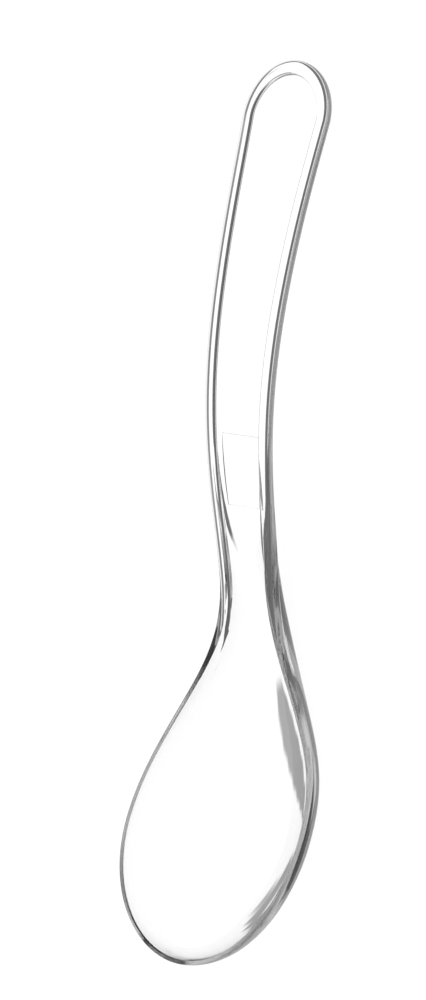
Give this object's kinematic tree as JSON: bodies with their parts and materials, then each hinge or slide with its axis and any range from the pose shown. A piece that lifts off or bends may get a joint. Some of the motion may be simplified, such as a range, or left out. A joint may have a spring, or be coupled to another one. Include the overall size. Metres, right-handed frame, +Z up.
{
  "type": "salad serving spoon",
  "caption": "Clear moulded salad serving spoon: a broad handle with a raised rim and a shallow recess arches down through a slim neck into a deep oval bowl.",
  "frame": {"origin": "middle of the spoon's length and width, on the table that the bowl and the end of the handle touch", "axes": "+X towards the end of the handle, +Z up out of the bowl's open side, +Y across"},
  "size_m": [0.289, 0.0672, 0.0508],
  "materials": {
    "clear_plastic": "clear, colourless, polished"
  },
  "bodies": {
    "root": {"salad_spoon": "clear_plastic"}
  },
  "joints": []
}
